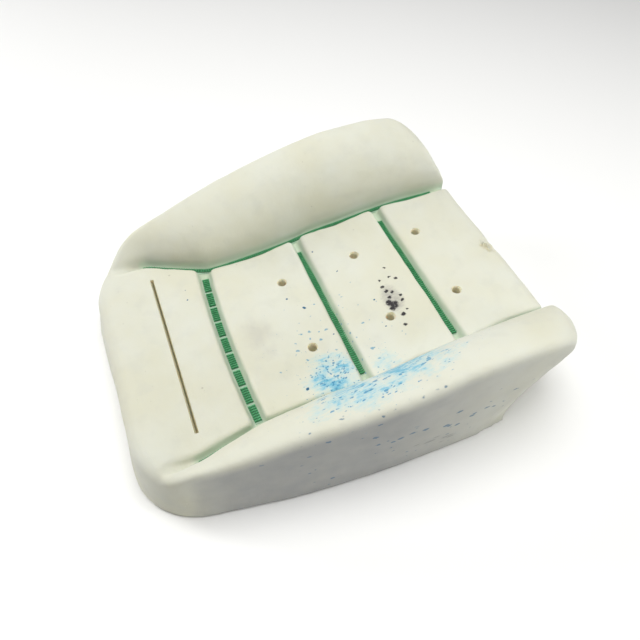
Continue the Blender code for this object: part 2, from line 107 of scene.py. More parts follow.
INSERT_RISE = [(0.0, 0.012), (0.08, 0.010), (0.16, 0.005), (0.40, 0.0), (0.50, 0.001), (0.66, 0.014),
               (0.84, 0.028), (1.0, 0.033)]
CROSS_TRENCHES = ((0.293, FRONT_TRENCH, FRONT_BOW), (0.549, CROSS_TRENCH, 0.0), (0.780, CROSS_TRENCH, 0.0))
VENT_ROWS = (0.466, 0.663, 0.836)
SLIT_AT, SLIT_REACH = 0.161, 0.131
LIP_TOP = INSERT + INSERT_RISE[-1][1]
FOOT_LINE = 0.30             # the grid line that follows the bolsters' feet, as a share of the half width
WALL = 0.0012                # width of a trench's steep wall, seen from above

# torn chip in the rear lip, flash at the foot of the left bolster and hollow in the foot of the nose
CHIP_AT, CHIP_STRETCH, CHIP_RADIUS, CHIP_DEPTH = (0.005, 0.2740), 1.5, 0.0100, 0.0090
FLASH_Y, FLASH_RUN, FLASH_BACK, FLASH_OUT = 0.178, 0.014, 0.0070, 0.0025
HOLLOW_X, HOLLOW_RUN, HOLLOW_DEPTH = 0.055, 0.085, 0.0065

# cuts through the skin, and how far their cutters stand above it
VENT_DEPTH, VENT_PROUD, SLIT_DEPTH, SLIT_PROUD = 0.050, 0.025, 0.045, 0.020
FLARE_DEPTH, FLARE, SLIT_TAPER = 0.004, 0.30, 0.010

# bands of hooks
BAND_WIDTH, BLOCK_WIDTH, BLOCK_MARGIN = 0.0062, 0.0095, 0.0004
BAND_LIFT, HOOK_HEIGHT, HOOK_BACKING = 0.0015, 0.0024, 0.0007

# lamps: name, place, the point it faces, diameter, watts and colour
LAMPS = (("overhead", (0.12, 0.05, 2.05), (0, 0, 0.05), 1.7, 43.0, (1.0, 0.998, 0.985)),
         ("nose_fill", (-1.7, -1.8, 1.1), (0, -0.1, 0.05), 1.2, 32.0, (1.0, 1.0, 1.0)),
         ("rear_side", (1.5, 1.8, 0.8), (0.2, 0.2, 0.08), 0.9, 17.0, (1.0, 1.0, 1.0)))


# ---- form of the body -----------------------------------------------------------------------------
def curve_table(points):
    """Monotone cubic through (t, value) points, as a function of an array, flat beyond both ends."""
    t = np.array([p[0] for p in points])
    v = np.array([p[1] for p in points])
    run, slope = np.diff(t), np.diff(v) / np.diff(t)
    tangent = np.zeros(len(t))
    tangent[0], tangent[-1] = slope[0], slope[-1]
    for k in range(1, len(t) - 1):
        if slope[k - 1] * slope[k] > 0:
            tangent[k] = 2 * slope[k - 1] * slope[k] / (slope[k - 1] + slope[k])

    def value(at):
        at = np.clip(at, t[0], t[-1])
        i = np.clip(np.searchsorted(t, at) - 1, 0, len(run) - 1)
        s = (at - t[i]) / run[i]
        return (v[i] * (1 + 2 * s) * (1 - s) ** 2 + v[i + 1] * s * s * (3 - 2 * s)
                + run[i] * (tangent[i] * s * (1 - s) ** 2 - tangent[i + 1] * s * s * (1 - s)))

    return value


crest_half = curve_table(CREST_HALF_WIDTH)
foot_half = curve_table(FOOT_HALF_WIDTH)
left_trench = curve_table(LEFT_TRENCH)
right_trench = curve_table(RIGHT_TRENCH)
crest_rise = curve_table(CREST_RISE)
insert_rise = curve_table(INSERT_RISE)
rear_rounding = curve_table([(0.0, LIP_ROUNDING), (0.5, BOLSTER_REAR), (1.0, OUTER_REAR)])


def ease(t):
    t = np.clip(t, 0.0, 1.0)
    return t * t * (3 - 2 * t)


def share(y):
    return (y - NOSE_Y) / LENGTH


def y_at(s):
    return NOSE_Y + s * LENGTH


def insert_height(y):
    return INSERT + insert_rise(share(y))


def crest_height(y):
    return INSERT + (HEIGHT - INSERT) * crest_rise(share(y))


def trench_x(y, x):
    return HALF * np.where(np.asarray(x) > 0, left_trench(share(y)), right_trench(share(y)))


def wall_half_width(y, z):
    foot, crest = foot_half(share(y)), crest_half(share(y))
    return HALF * (foot + (crest - foot) * np.clip(z / crest_height(y), 0, 1))


def nose_y(z):
    return NOSE_Y + NOSE_LEAN * ease(z / INSERT)


def rounding_drop(distance, radius):
    reach = np.clip(radius - distance, 0.0, radius)
    return radius - np.sqrt(radius ** 2 - reach ** 2)


def rear_y(x, z):
    below = np.clip(1 - z / (LIP_TOP - LIP_ROUNDING), 0, None)
    inner = LIP_Y - REAR_UNDERCUT * below ** 1.5 - REAR_LEAN * np.clip(z - LIP_TOP, 0, None)
    rise = (z / HEIGHT - CORNER_FOOT) / (1 - CORNER_FOOT)
    outer = LIP_Y - CORNER_SETBACK - CORNER_UNDERCUT * (1 - np.clip(rise, 0, 1))
    foot = trench_x(LIP_Y, x)
    beyond = (np.abs(x) - foot) / (HALF - foot)
    face = inner + (outer - inner) * ease((beyond - CORNER_TURN) / (1 - CORNER_TURN))
    return face - rounding_drop(wall_half_width(LIP_Y, z) - np.abs(x), REAR_CORNER)


def edge_distance(x, y, z):
    """Distance in from the side wall, from the nose or round a front corner."""
    width, depth = wall_half_width(y, z), y - nose_y(z)
    across, ahead = np.abs(x) - (width - NOSE_CORNER), NOSE_CORNER - depth
    corner = NOSE_CORNER - np.hypot(across, ahead)
    return np.where((across > 0) & (ahead > 0), corner, np.minimum(width - np.abs(x), depth))


def smooth_least(a, b, blend):
    h = np.clip(0.5 + (b - a) / (2 * blend), 0, 1)
    return b + (a - b) * h - blend * h * (1 - h)


def panel_setback(y):
    """How far the panels' sides bow in along the bolster trenches, none at the cross trenches."""
    stops = [y_at(at) for at, _, _ in CROSS_TRENCHES] + [LIP_Y]
    bow = np.zeros_like(y)
    for start, end in zip(stops, stops[1:]):
        bow += SETBACK * np.sin(np.pi * np.clip((y - start) / (end - start), 0, 1)) ** 2
    return bow


def trench_distance(x, y, corner):
    """Distance outside the nearest trench's wall, negative inside; corner rounds the panels' corners."""
    middle, away = trench_x(y, x), np.abs(x)
    inner = (middle - away) - TRENCH / 2 - panel_setback(y)
    outer = (away - middle) - TRENCH / 2
    start = y_at(TRENCH_START) + TRENCH / 2
    long = np.maximum(inner, outer)
    ahead = np.clip(start - y, 0, None)
    long = np.where(ahead > 0, np.hypot(ahead, long + TRENCH / 2) - TRENCH / 2, long)
    nearest = long
    for at, width, bow in CROSS_TRENCHES:
        line = y_at(at) - bow * (1 - (x / middle) ** 2)
        cross = np.maximum(np.abs(y - line) - width / 2, away - middle)
        nearest = smooth_least(nearest, cross, corner)
    return nearest


def top_height(x, y, lip, corner):
    """Height of the upper surface, with its edges rounded and its trenches sunk."""
    low, high = insert_height(y), crest_height(y)
    foot = trench_x(y, x) + TRENCH / 2
    across = np.clip((np.abs(x) - foot) / (wall_half_width(y, high) - foot), 0, 1)
    behind = (share(y) - FULLNESS_START) / (FULLNESS_END - FULLNESS_START)
    tip = ease((FULLNESS_START - share(y)) / (FULLNESS_START - TRENCH_START))
    fullness = (FRONT_FULLNESS + (FULLNESS - FRONT_FULLNESS) * ease(behind)
                + (TIP_FULLNESS - FRONT_FULLNESS) * tip)
    raw = low + (high - low) * (1 - (1 - across) ** fullness) ** (1 / fullness)
    radius = RIM_ROUNDING + (NOSE_ROUNDING - RIM_ROUNDING) * ease(1 - (y - NOSE_Y) / NOSE_CORNER)
    side = rounding_drop(edge_distance(x, y, raw - radius), radius)
    beyond = (np.abs(x) - trench_x(y, x)) / (HALF - trench_x(y, x))
    rear_radius = rear_rounding(beyond)
    rear = rounding_drop(rear_y(x, raw - rear_radius) - y, rear_radius)
    drop = np.hypot(side, rear)
    sunk = np.clip((lip - trench_distance(x, y, corner)) / (lip + WALL), 0, 1)
    started = START_DEPTH + (1 - START_DEPTH) * ease((y - y_at(TRENCH_START)) / START_RUN)
    return raw - drop - DEPTH * started * (1 - np.sqrt(1 - sunk ** 2))


def body_points(u, s, w, lip, corner):
    """Surface points: u runs -1 to 1 across, s 0 to 1 from the nose and w 0 to 1 from the underside up."""
    corner_share, foot_limit, spread = 0.28, 0.80, 1.5
    plan_steps, height_steps, height_share = 5, 14, 0.40
    z = w * INSERT
    x, y = u * HALF, y_at(s)
    for _ in range(height_steps):
        for _ in range(plan_steps):
            front = nose_y(z)
            length = rear_y(x, z) - front
            bent = NOSE_CORNER * (1 - np.cos(math.pi / 2 * np.clip(s / corner_share, 0, 1)))
            straight = (length - NOSE_CORNER) * np.clip((s - corner_share) / (1 - corner_share), 0, 1)
            depth = bent + straight
            y = front + depth
            ahead = np.clip(NOSE_CORNER - depth, 0, NOSE_CORNER)
            inset = NOSE_CORNER - np.sqrt(NOSE_CORNER ** 2 - ahead ** 2)
            width = wall_half_width(y, z) - inset - np.clip(0.003 - z, 0, None)
            foot = np.minimum(trench_x(y, u) + TRENCH / 2, foot_limit * width)
            beyond = np.clip((np.abs(u) - FOOT_LINE) / (1 - FOOT_LINE), 0, 1)
            near = u / FOOT_LINE * foot
            x = np.where(np.abs(u) < FOOT_LINE, near, np.sign(u) * (foot + (width - foot) * beyond ** spread))
        z += height_share * (w * top_height(x, y, lip, corner) - z)
    return np.stack([x, y, z], axis=-1)


# ---- small helpers --------------------------------------------------------------------------------
def srgb(code):
    """An sRGB hex colour as linear RGBA."""
    parts = [int(code[i:i + 2], 16) / 255 for i in (0, 2, 4)]
    return (*[c / 12.92 if c <= 0.04045 else ((c + 0.055) / 1.055) ** 2.4 for c in parts], 1.0)


def node(tree, kind, settings=None, links=None):
    """Adds a node; settings are its properties and socket values, links its inputs' sources."""
    made = tree.nodes.new(kind)
    for key, value in (settings or {}).items():
        if isinstance(key, str) and hasattr(made, key):
            setattr(made, key, value)
        else:
            made.inputs[key].default_value = value
    for key, source in (links or {}).items():
        tree.links.new(source, made.inputs[key])
    return made


def new_material(name):
    """A material with only its output and its shader."""
    material = bpy.data.materials.new(name)
    material.use_nodes = True
    return material, material.node_tree, material.node_tree.nodes["Principled BSDF"]


def deselect():
    for obj in bpy.context.view_layer.objects:
        obj.select_set(False)


def activate(obj):
    deselect()
    obj.select_set(True)
    bpy.context.view_layer.objects.active = obj


def link_mesh(name, mesh, material):
    obj = bpy.data.objects.new(name, mesh)
    bpy.context.scene.collection.objects.link(obj)
    mesh.materials.append(material)
    return obj


def apply(obj, kind, **settings):
    """Adds a modifier with its settings and applies it."""
    activate(obj)
    modifier = obj.modifiers.new(kind.title(), kind)
    for key, value in settings.items():
        setattr(modifier, key, value)
    bpy.ops.object.modifier_apply(modifier=modifier.name)


# ---- finishes -------------------------------------------------------------------------------------
# where the stains are, in millimetres: a centre, then a spread along each axis or a radius
PANEL_INK, THIRD_INK = ((113, -12, 70), (66, 68, 30)), ((122, 62, 80), (48, 50, 30))
WIDE_INK = ((70, 10, 75), (170, 170, 45))
BOLSTER_INK, SIDE_INK = ((186, 28, 140), (66, 190, 90)), ((235, 30, 95), (70, 330, 170))
GREASE_HALO, HAND_MARKS = ((36, 108, 85), (46, 26, 14)), ((18, -80, 70), (80, 45, 20))
SCUFFED, TORN_CHIP = ((232, 85, 42), (30, 95, 26)), ((6, 271, 98), 12.0)
INK_DROPS = (((-29, -23, 70), 1.8), ((-5, -6, 70), 2.6), ((119, -48, 69), 2.4), ((53, 13, 72), 1.6),
             ((-98, 42, 76), 2.2), ((26, 85, 82), 1.5), ((73, 81, 82), 1.6), ((-46, 60, 78), 1.5),
             ((-96, -152, 73), 1.8), ((-78, -154, 73), 2.0), ((215, 38, 145), 3.0), ((196, 80, 150), 2.6),
             ((211, 128, 150), 3.2), ((236, -4, 100), 2.4), ((234, -40, 100), 2.6), ((237, 3, 70), 2.2),
             ((228, 90, 130), 2.4))
GREASE_DABS = (((46, 105, 85), 8.5), ((40, 101, 85), 6.5), ((51, 100, 85), 5.0), ((168, 86, 141), 3.6),
               ((170, 93, 142), 3.2), ((166, 80, 140), 3.0), ((-19, 121, 87), 2.6), ((-1, 120, 87), 2.6),
               ((5, 127, 88), 2.8), ((-1, 105, 85), 3.0), ((11, 104, 85), 3.0), ((20, 106, 85), 3.4),
               ((25, 112, 86), 3.0), ((32, 106, 85), 3.6), ((35, 120, 87), 3.0), ((44, 119, 87), 3.4),
               ((66, 109, 86), 4.2), ((82, 104, 85), 3.4), ((60, 118, 86), 2.4))
# shapes of the flecks: round, or run out along the pad
ROUND, RUN_OUT = (1.0, 1.0, 1.0), (1.0, 0.55, 1.0)


def object_coords(tree):
    return node(tree, "ShaderNodeTexCoord").outputs["Object"]


def grain(tree, coords, size, detail, roughness=0.5):
    """Fractal noise whose broadest features are about a size in metres."""
    return node(tree, "ShaderNodeTexNoise", {"Scale": 1 / size, "Detail": detail, "Roughness": roughness},
                {"Vector": coords}).outputs[0]


def cell_distance(tree, coords, size):
    """Distance from the middle of the nearest cell, for cells of a size in metres."""
    return node(tree, "ShaderNodeTexVoronoi", {"Scale": 1 / size}, {"Vector": coords}).outputs["Distance"]


def ramp(tree, value, start, end, low=0.0, high=1.0):
    """Spreads a value's stretch from start to end over low to high, held beyond both."""
    return node(tree, "ShaderNodeMapRange", {"From Min": start, "From Max": end, "To Min": low,
                                             "To Max": high}, {"Value": value}).outputs[0]


def times(tree, value, factor):
    """A value multiplied by a number or by another value."""
    if isinstance(factor, bpy.types.NodeSocket):
        return node(tree, "ShaderNodeMath", {"operation": "MULTIPLY"}, {0: value, 1: factor}).outputs[0]
    return node(tree, "ShaderNodeMath", {"operation": "MULTIPLY", 1: factor}, {0: value}).outputs[0]


def greater(tree, a, b):
    return node(tree, "ShaderNodeMath", {"operation": "MAXIMUM"}, {0: a, 1: b}).outputs[0]


def bump(tree, height, strength, distance, below=None, inward=False):
    """Relief from a height, over any relief below it; inward sinks it instead of raising it."""
    links = {"Height": height}
    if below is not None:
        links["Normal"] = below
    return node(tree, "ShaderNodeBump", {"Strength": strength, "Distance": distance, "invert": inward},
                links).outputs[0]


def mix(tree, factor, below, above):
    """Mixes two colours; each is a colour or a socket."""
    made = node(tree, "ShaderNodeMix", {"data_type": "RGBA"})
    tree.links.new(factor, made.inputs["Factor"])
    for index, value in ((6, below), (7, above)):
        if isinstance(value, bpy.types.NodeSocket):
            tree.links.new(value, made.inputs[index])
        else:
            made.inputs[index].default_value = value
    return made.outputs[2]


def spot(tree, coords, place, radius, blur=0.35):
    """A mask of one round spot at a place, in millimetres."""
    away = node(tree, "ShaderNodeVectorMath", {"operation": "DISTANCE", 1: [c / 1000 for c in place]},
                {0: coords}).outputs["Value"]
    return node(tree, "ShaderNodeMapRange", {"interpolation_type": "SMOOTHSTEP", "From Min": radius / 1000,
                                             "From Max": radius * (1 - blur) / 1000},
                {"Value": away}).outputs[0]


def spots(tree, coords, places, blur=0.35):
    """One mask of many round spots."""
    masks = [spot(tree, coords, place, radius, blur) for place, radius in places]
    mask = masks[0]
    for other in masks[1:]:
        mask = greater(tree, mask, other)
    return mask


def patch(tree, coords, centre, spread):
    """A soft mask round a centre, with its own spread along each axis, both in millimetres."""
    moved = node(tree, "ShaderNodeVectorMath", {"operation": "SUBTRACT", 1: [c / 1000 for c in centre]},
                 {0: coords}).outputs[0]
    scaled = node(tree, "ShaderNodeVectorMath", {"operation": "DIVIDE", 1: [c / 1000 for c in spread]},
                  {0: moved}).outputs[0]
    away = node(tree, "ShaderNodeVectorMath", {"operation": "LENGTH"}, {0: scaled}).outputs["Value"]
    return node(tree, "ShaderNodeMapRange", {"interpolation_type": "SMOOTHSTEP", "From Min": 1.0,
                                             "From Max": 0.15}, {"Value": away}).outputs[0]


def speckles(tree, coords, spacing, largest, mask, stretch=ROUND, rarity=1.6):
    """Scattered flecks, one in each cell of a spacing in millimetres; mask 1 gives the largest size."""
    shaped = node(tree, "ShaderNodeMapping", {"Scale": stretch}, {"Vector": coords}).outputs[0]
    cells = node(tree, "ShaderNodeTexVoronoi", {"Scale": 1000 / spacing, "Randomness": 1.0},
                 {"Vector": shaped})
    chance = node(tree, "ShaderNodeSeparateColor", {}, {0: cells.outputs["Color"]}).outputs[0]
    size = node(tree, "ShaderNodeMath", {"operation": "POWER", 1: rarity}, {0: chance}).outputs[0]
    size = times(tree, times(tree, size, largest / spacing), mask)
    inside = node(tree, "ShaderNodeMath", {"operation": "SUBTRACT"}, {0: size, 1: cells.outputs["Distance"]})
    return ramp(tree, inside.outputs[0], 0.0, 0.12)


def smear(tree, coords):
    """The coordinates shifted by up to 4 mm, so that spots laid on them have ragged edges."""
    shift = node(tree, "ShaderNodeTexNoise", {"Scale": 1 / 0.005, "Detail": 3.0}, {"Vector": coords})
    shift = node(tree, "ShaderNodeVectorMath", {"operation": "MULTIPLY_ADD", 1: (0.004, 0.008, 0.004),
                                                2: (-0.002, -0.004, -0.002)},
                 {0: shift.outputs["Color"]}).outputs[0]
    return node(tree, "ShaderNodeVectorMath", {"operation": "ADD"}, {0: coords, 1: shift}).outputs[0]


def aged_skin_and_shade(tree, clouds, mottle, look):
    """The skin's colour: broad yellowing and mould-release clouding, with painted shade, green-tinted in the
    trenches and grey on the outer sides.
    """
    colour = mix(tree, ramp(tree, clouds, 0.35, 0.65), (*look.foam_light, 1.0), (*look.foam_dark, 1.0))
    colour = mix(tree, ramp(tree, mottle, 0.52, 0.72, high=0.22), colour, srgb("bdbeb4"))
    # painted shade down in the trenches beside the tapes, tinted green as light thrown off them
    trench_shade = node(tree, "ShaderNodeAttribute", {"attribute_name": "trench"}).outputs["Fac"]
    colour = mix(tree, ramp(tree, trench_shade, 0.50, 1.0, high=0.45), colour, srgb("9dbf9f"))
    # painted shade on the outer side walls: grey, lightly mottled, darkest towards the front
    flank_shade = node(tree, "ShaderNodeAttribute", {"attribute_name": "flank_shade"}).outputs["Fac"]
    mottled_shade = times(tree, ramp(tree, mottle, 0.30, 0.65, low=0.85), flank_shade)
    return mix(tree, mottled_shade, colour, srgb("9c9d9b"))


def add_ink(tree, coords, smeared, streaks, colour):
    """Spilt blue ink, thickest on the left of the second panel and over the bolster beside it."""
    panel, bolster = patch(tree, coords, *PANEL_INK), patch(tree, coords, *BOLSTER_INK)
    wide, side = patch(tree, coords, *WIDE_INK), patch(tree, coords, *SIDE_INK)
    third = times(tree, patch(tree, coords, *THIRD_INK), 0.65)
    clots = ramp(tree, grain(tree, coords, 0.022, 3.0), 0.3, 0.6, low=0.45)
    wet = times(tree, greater(tree, greater(tree, panel, bolster), third), clots)
    wash = times(tree, streaks, wet)
    colour = mix(tree, ramp(tree, wash, 0.20, 0.46, high=0.75), colour, srgb("93c8d6"))
    colour = mix(tree, ramp(tree, wash, 0.36, 0.56, high=0.85), colour, srgb("47a0c0"))
    # flecks of drying ink: their area, spacing and largest size in millimetres, shape, rarity and colour
    for area, spacing, largest, shape, rarity, ink in (
            (panel, 3.4, 2.4, ROUND, 1.6, "2f7fa8"), (third, 4.0, 2.0, ROUND, 1.6, "4f99b8"),
            (wide, 6.0, 2.6, ROUND, 2.6, "5893b0"), (bolster, 3.6, 2.5, RUN_OUT, 2.2, "3384ad"),
            (side, 8.0, 3.2, RUN_OUT, 1.8, "3f6c88")):
        flecks = speckles(tree, smeared, spacing, largest, area, shape, rarity)
        colour = mix(tree, times(tree, flecks, 0.8), colour, srgb(ink))
    return mix(tree, spots(tree, smeared, INK_DROPS), colour, srgb("245c7e"))


def add_grease(tree, coords, smeared, streaks, colour):
    """Black grease round the left vent of the middle row, in a trail of dabs, with a grey halo."""
    halo = times(tree, patch(tree, coords, *GREASE_HALO), streaks)
    colour = mix(tree, ramp(tree, halo, 0.20, 0.55, high=0.60), colour, srgb("8f8b8a"))
    broken = ramp(tree, grain(tree, coords, 0.003, 4.0), 0.22, 0.40)
    dabs = times(tree, spots(tree, smeared, GREASE_DABS, 0.5), broken)
    return mix(tree, dabs, colour, srgb("2b272a"))


def add_wear(tree, coords, smeared, mottle, everywhere, scuffs, colour):
    """Faint hand marks, the aged foam laid bare in the torn chip, the scuffs and specks of dirt."""
    smudge = times(tree, patch(tree, coords, *HAND_MARKS), mottle)
    colour = mix(tree, ramp(tree, smudge, 0.25, 0.6, high=0.22), colour, srgb("a19d9c"))
    torn = times(tree, spot(tree, smeared, *TORN_CHIP, 0.5), 0.6)
    colour = mix(tree, torn, colour, srgb("b9b08a"))
    colour = mix(tree, times(tree, scuffs, 0.6), colour, srgb("8a8a85"))
    dirt = speckles(tree, coords, 12.0, 2.2, everywhere, rarity=3.5)
    return mix(tree, times(tree, dirt, 0.5), colour, srgb("8c8778"))


def skin_relief(tree, coords, everywhere, scuffs):
    """The skin's 1.1 mm cells, drawn coarser than the real 0.5 mm, its pinholes and its scuffs."""
    relief = bump(tree, cell_distance(tree, coords, 0.0011), 0.25, 0.00025)
    relief = bump(tree, grain(tree, coords, 0.004, 5.0), 0.35, 0.0006, relief)
    pinholes = speckles(tree, coords, 6.5, 1.3, everywhere)
    relief = bump(tree, pinholes, 0.7, 0.0008, relief, True)
    return bump(tree, scuffs, 0.6, 0.0008, relief, True)


def foam_finish(look):
    """Flexible polyurethane foam, cold-cured in a mould: a matt cream skin with fine pores and pinholes.

    Light and air yellow it unevenly, and it takes up spilt ink; shade is painted into its colour,
    green-tinted in the trenches and grey on the outer sides.
    """
    material, tree, shader = new_material("moulded polyurethane foam")
    coords = object_coords(tree)
    clouds, mottle = grain(tree, coords, 0.090, 3.0), grain(tree, coords, 0.025, 4.0)
    everywhere = ramp(tree, clouds, 0.3, 0.7, low=0.4)
    smeared = smear(tree, coords)
    wiped = node(tree, "ShaderNodeMapping", {"Rotation": (0, 0, 0.25), "Scale": (1.0, 0.32, 1.0)},
                 {"Vector": coords}).outputs[0]
    streaks = grain(tree, wiped, 0.0035, 6.0, 0.75)
    # old scuffs low on the outer side of the left bolster
    scuffs = speckles(tree, coords, 9.0, 6.5, patch(tree, coords, *SCUFFED), (1.0, 0.45, 1.4), 1.2)
    colour = aged_skin_and_shade(tree, clouds, mottle, look)
    colour = add_ink(tree, coords, smeared, streaks, colour)
    colour = add_grease(tree, coords, smeared, streaks, colour)
    colour = add_wear(tree, coords, smeared, mottle, everywhere, scuffs, colour)
    tree.links.new(colour, shader.inputs["Base Color"])
    tree.links.new(skin_relief(tree, coords, everywhere, scuffs), shader.inputs["Normal"])
    shader.inputs["Roughness"].default_value = 0.88
    shader.inputs["IOR"].default_value = 1.45
    shader.inputs["Subsurface Weight"].default_value = 0.12
    shader.inputs["Subsurface Radius"].default_value = (0.006, 0.005, 0.003)
    shader.inputs["Subsurface Scale"].default_value = 1.0
    shader.inputs["Sheen Weight"].default_value = 0.15
    shader.inputs["Sheen Roughness"].default_value = 0.6
    return material


def cut_foam_painted_light_finish():
    """The same foam where it has no skin, inside the slit and the vents: open cells, tan with age, coloured
    paler than the skin as painted light so the deep slit and vents read lit.
    """
    material, tree, shader = new_material("open-cell foam, painted light")
    cells = cell_distance(tree, object_coords(tree), 0.0014)
    # paler than the skin: painted light inside the deep cuts
    tree.links.new(mix(tree, cells, srgb("d8d1ae"), srgb("e8e3ca")), shader.inputs["Base Color"])
    tree.links.new(bump(tree, cells, 0.8, 0.0008), shader.inputs["Normal"])
    shader.inputs["Roughness"].default_value = 0.95
    shader.inputs["Subsurface Weight"].default_value = 0.4
    shader.inputs["Subsurface Radius"].default_value = (0.008, 0.006, 0.004)
    shader.inputs["Subsurface Scale"].default_value = 1.0
    return material


def hook_finish(look):
    """Extruded nylon hook tape, dyed green: slightly glossy, paler where the hooks are worn."""
    material, tree, shader = new_material("dyed nylon hooks")
    wear = ramp(tree, grain(tree, object_coords(tree), 0.006, 4.0), 0.35, 0.70)
    colour = mix(tree, wear, (*look.hook_dark, 1.0), (*look.hook_light, 1.0))
    tree.links.new(colour, shader.inputs["Base Color"])
    shader.inputs["Roughness"].default_value = 0.42
    shader.inputs["IOR"].default_value = 1.53
    return material


def painted_shade_backing_finish():
    """The hooks' own backing between the rows: the same nylon, coloured dark and matt as painted shade, with
    a mottle.
    """
    material, tree, shader = new_material("nylon hook backing, painted shade")
    mottled_shade = grain(tree, object_coords(tree), 0.003, 3.0)
    # two dark greens of the hooks' own nylon: painted shade between the rows
    tree.links.new(mix(tree, mottled_shade, srgb("1f5c38"), srgb("2f7348")), shader.inputs["Base Color"])
    shader.inputs["Roughness"].default_value = 0.6
    return material


def tape_finish():
    """Woven polyester carrier tape: pale green, with a thread every 0.6 mm that shows as a fine weave."""
    material, tree, shader = new_material("woven polyester tape")
    coords = object_coords(tree)
    bands_per_metre = 0.314 / 0.0006
    warp, weft = [node(tree, "ShaderNodeTexWave", {"bands_direction": axis, "Scale": bands_per_metre,
                                                   "Distortion": 0.4}, {"Vector": coords}).outputs["Fac"]
                  for axis in ("X", "Y")]
    weave = times(tree, warp, weft)
    tree.links.new(mix(tree, weave, srgb("93b298"), srgb("b3cbb5")), shader.inputs["Base Color"])
    tree.links.new(bump(tree, weave, 0.4, 0.0002), shader.inputs["Normal"])
    shader.inputs["Roughness"].default_value = 0.7
    return material


def wire_finish():
    """Drawn steel wire: grey, with fine scratches."""
    material, tree, shader = new_material("drawn steel wire")
    scratches = ramp(tree, grain(tree, object_coords(tree), 0.0008, 2.0), 0.0, 1.0, 0.28, 0.45)
    tree.links.new(scratches, shader.inputs["Roughness"])
    shader.inputs["Base Color"].default_value = srgb("9b9a97")
    shader.inputs["Metallic"].default_value = 1.0
    return material


# ---- settings -------------------------------------------------------------------------------------
class SeatPadFoam(bpy.types.PropertyGroup):
    cell: FloatProperty(name="Mesh size", description="Edge length of the body's surface mesh",
                        default=0.0026, min=0.001, unit="LENGTH")
    lip: FloatProperty(name="Trench lip", description="Width of the rounding along the trenches",
                       default=0.0032, min=0.0, unit="LENGTH")
    corner: FloatProperty(name="Panel corner", description="Rounding of the panels' corners, from above",
                          default=0.007, min=0.001, unit="LENGTH")
    unevenness: FloatProperty(name="Unevenness", description="Depth of the broad waves in the skin",
                              default=0.0007, min=0.0, unit="LENGTH")
    vent_diameter: FloatProperty(name="Vent diameter", description="Diameter of the six vent holes",
                                 default=0.011, min=0.002, unit="LENGTH")
    vent_spacing: FloatProperty(name="Vent spacing", description="Distance between the vents of a row",
                                default=0.123, min=0.02, unit="LENGTH")
    slit_width: FloatProperty(name="Slit width", description="Width of the slit across the nose",
                              default=0.0042, min=0.001, unit="LENGTH")
    foam_light: FloatVectorProperty(name="Foam", description="Colour of the foam's skin", subtype="COLOR",
                                    default=srgb("d2d3c6")[:3], min=0, max=1)
    foam_dark: FloatVectorProperty(name="Aged foam", description="Colour of the skin where it has yellowed",
                                   subtype="COLOR", default=srgb("cfcebb")[:3], min=0, max=1)


class SeatPadHooks(bpy.types.PropertyGroup):
    pitch: FloatProperty(name="Row pitch", description="Distance between two rows of hooks",
                         default=0.0034, min=0.001, unit="LENGTH")
    columns: IntProperty(name="Hooks in a row", description="Number of hooks across the band",
                         default=5, min=1)
    hook_dark: FloatVectorProperty(name="Hooks", description="Colour of the hooks", subtype="COLOR",
                                   default=srgb("3c9a5e")[:3], min=0, max=1)
    hook_light: FloatVectorProperty(name="Worn hooks", description="Colour of the hooks where worn",
                                    subtype="COLOR", default=srgb("63bb82")[:3], min=0, max=1)


class SeatPadStage(bpy.types.PropertyGroup):
    azimuth: FloatProperty(name="Camera azimuth", description="Round the pad from its nose",
                           default=math.radians(68.45), subtype="ANGLE")
    elevation: FloatProperty(name="Camera elevation", description="Above the horizon",
                             default=math.radians(51.47), subtype="ANGLE")
    distance: FloatProperty(name="Camera distance", description="From the point it looks at",
                            default=0.8013, min=0.1, unit="LENGTH")
    target: FloatVectorProperty(name="Looks at", description="Point at the middle of the picture",
                                subtype="XYZ", default=(0.03287, 0.0022, 0.0836), unit="LENGTH")


# ---- the foam body --------------------------------------------------------------------------------
def loft_mesh(lip, corner):
    """The closed body as a fine grid on its six sides, before it is remeshed."""
    across, along, up = 330, 290, 60
    index = {}
    rows = []

    def number(i, j, k):
        key = (i, j, k)
        if key not in index:
            index[key] = len(rows)
            rows.append(key)
        return index[key]

    faces = []

    def sheet(outer, inner, corner_of):
        for a in range(outer):
            for b in range(inner):
                faces.append([number(*corner_of(a + da, b + db))
                              for da, db in ((0, 0), (1, 0), (1, 1), (0, 1))])

    sheet(across, along, lambda a, b: (a, b, up))
    sheet(across, along, lambda a, b: (a, along - b, 0))
    sheet(across, up, lambda a, b: (a, 0, b))
    sheet(across, up, lambda a, b: (across - a, along, b))
    sheet(along, up, lambda a, b: (across, a, b))
    sheet(along, up, lambda a, b: (0, along - a, b))
    grid = np.array(rows, dtype=float)
    u = 2 * grid[:, 0] / across - 1
    # half of the divisions lie between the trenches
    u = np.sign(u) * np.where(np.abs(u) < 0.5, 2 * FOOT_LINE * np.abs(u),
                              FOOT_LINE + 2 * (1 - FOOT_LINE) * (np.abs(u) - 0.5))
    points = body_points(u, grid[:, 1] / along, grid[:, 2] / up, lip, corner)
    mesh = bpy.data.meshes.new("foam_body")
    mesh.from_pydata(points.tolist(), [], faces)
    mesh.update()
    return mesh


